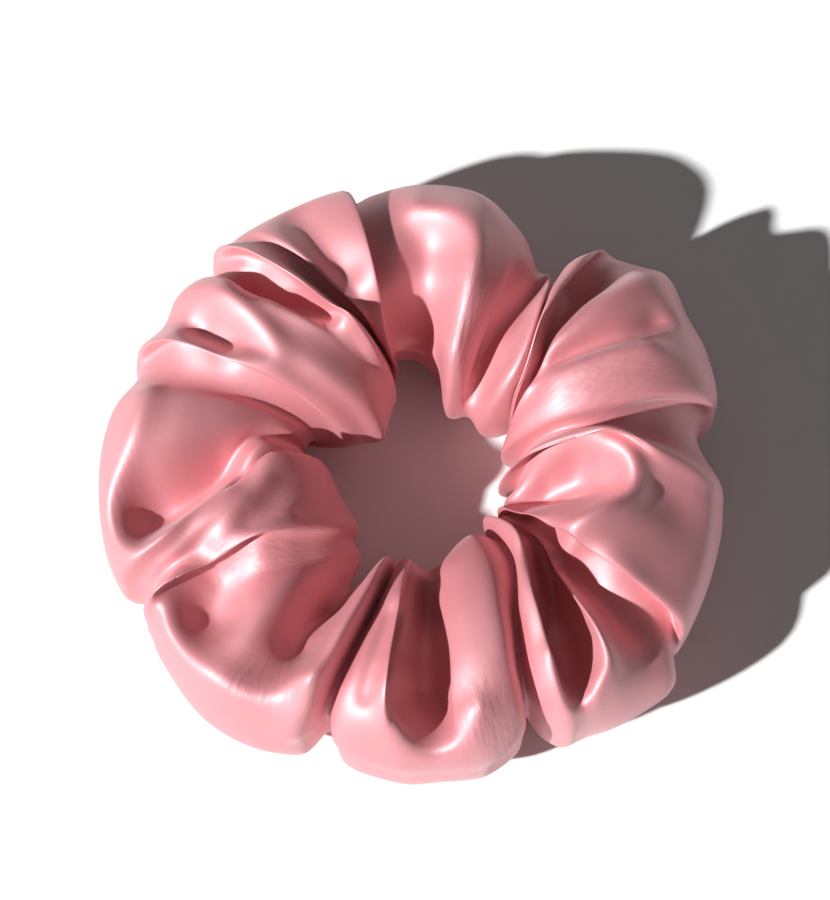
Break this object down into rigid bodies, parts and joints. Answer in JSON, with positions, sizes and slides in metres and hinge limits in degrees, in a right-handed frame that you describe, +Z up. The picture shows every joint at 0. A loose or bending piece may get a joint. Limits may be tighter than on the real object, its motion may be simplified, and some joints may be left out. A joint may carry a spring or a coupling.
{
  "type": "hair scrunchie",
  "caption": "Gathered satin hair scrunchie: a sewn fabric tube bunched round a loop of flat elastic, which stretches open.",
  "frame": {"origin": "middle of the footprint, on the surface that the ring lies on", "axes": "+Z up, along the ring's axis and through its hole; +X from the held side to the pulled side, along the stretch"},
  "size_m": [0.112, 0.1072, 0.036],
  "materials": {
    "satin": "rose pink satin weave, bright sheen",
    "elastic": "off-white braided elastic",
    "thread": "pink polyester sewing thread"
  },
  "bodies": {
    "held_side": {"satin_cover_left": "satin", "elastic_back_arm": "elastic", "elastic_front_arm": "elastic", "elastic_lap_stitches": "thread", "long_seam_stitches_left": "thread", "end_seam_stitches": "thread", "closing_stitches": "thread"},
    "pulled_side": {"satin_cover_right": "satin", "elastic_right": "elastic", "long_seam_stitches_right": "thread"}
  },
  "joints": [
    {"name": "stretch", "type": "slide", "parent": "held_side", "child": "pulled_side", "axis": [1, 0, 0], "range_m": [0, 0.09], "stiffness_N_per_m": 80}
  ]
}
